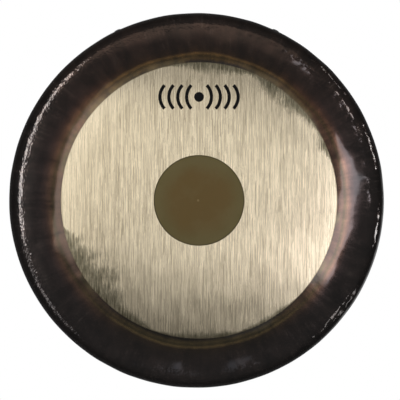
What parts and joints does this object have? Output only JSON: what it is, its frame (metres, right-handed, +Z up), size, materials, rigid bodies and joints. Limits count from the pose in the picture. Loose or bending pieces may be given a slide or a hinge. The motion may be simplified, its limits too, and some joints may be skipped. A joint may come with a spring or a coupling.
{
  "type": "tam-tam gong",
  "caption": "Suspended bronze tam-tam with a ground face, dark centre, tinted ring and turned-back oxide-black rim.",
  "frame": {"origin": "on the gong's axis, half way between the front of the face and the rim's free edge", "axes": "hanging: +Z up to the hanging holes, -Y out of the playing face, +X to the right seen from the front"},
  "size_m": [0.8129, 0.078, 0.8129],
  "materials": {
    "bronze": "brushed cream face, black-brown oxide elsewhere, heat tint between them",
    "grommet_rubber": "matt",
    "ink": "satin printed ink"
  },
  "bodies": {
    "root": {"gong_disc": "bronze", "grommet_left": "grommet_rubber", "grommet_right": "grommet_rubber", "printed_mark": "ink"}
  },
  "joints": []
}
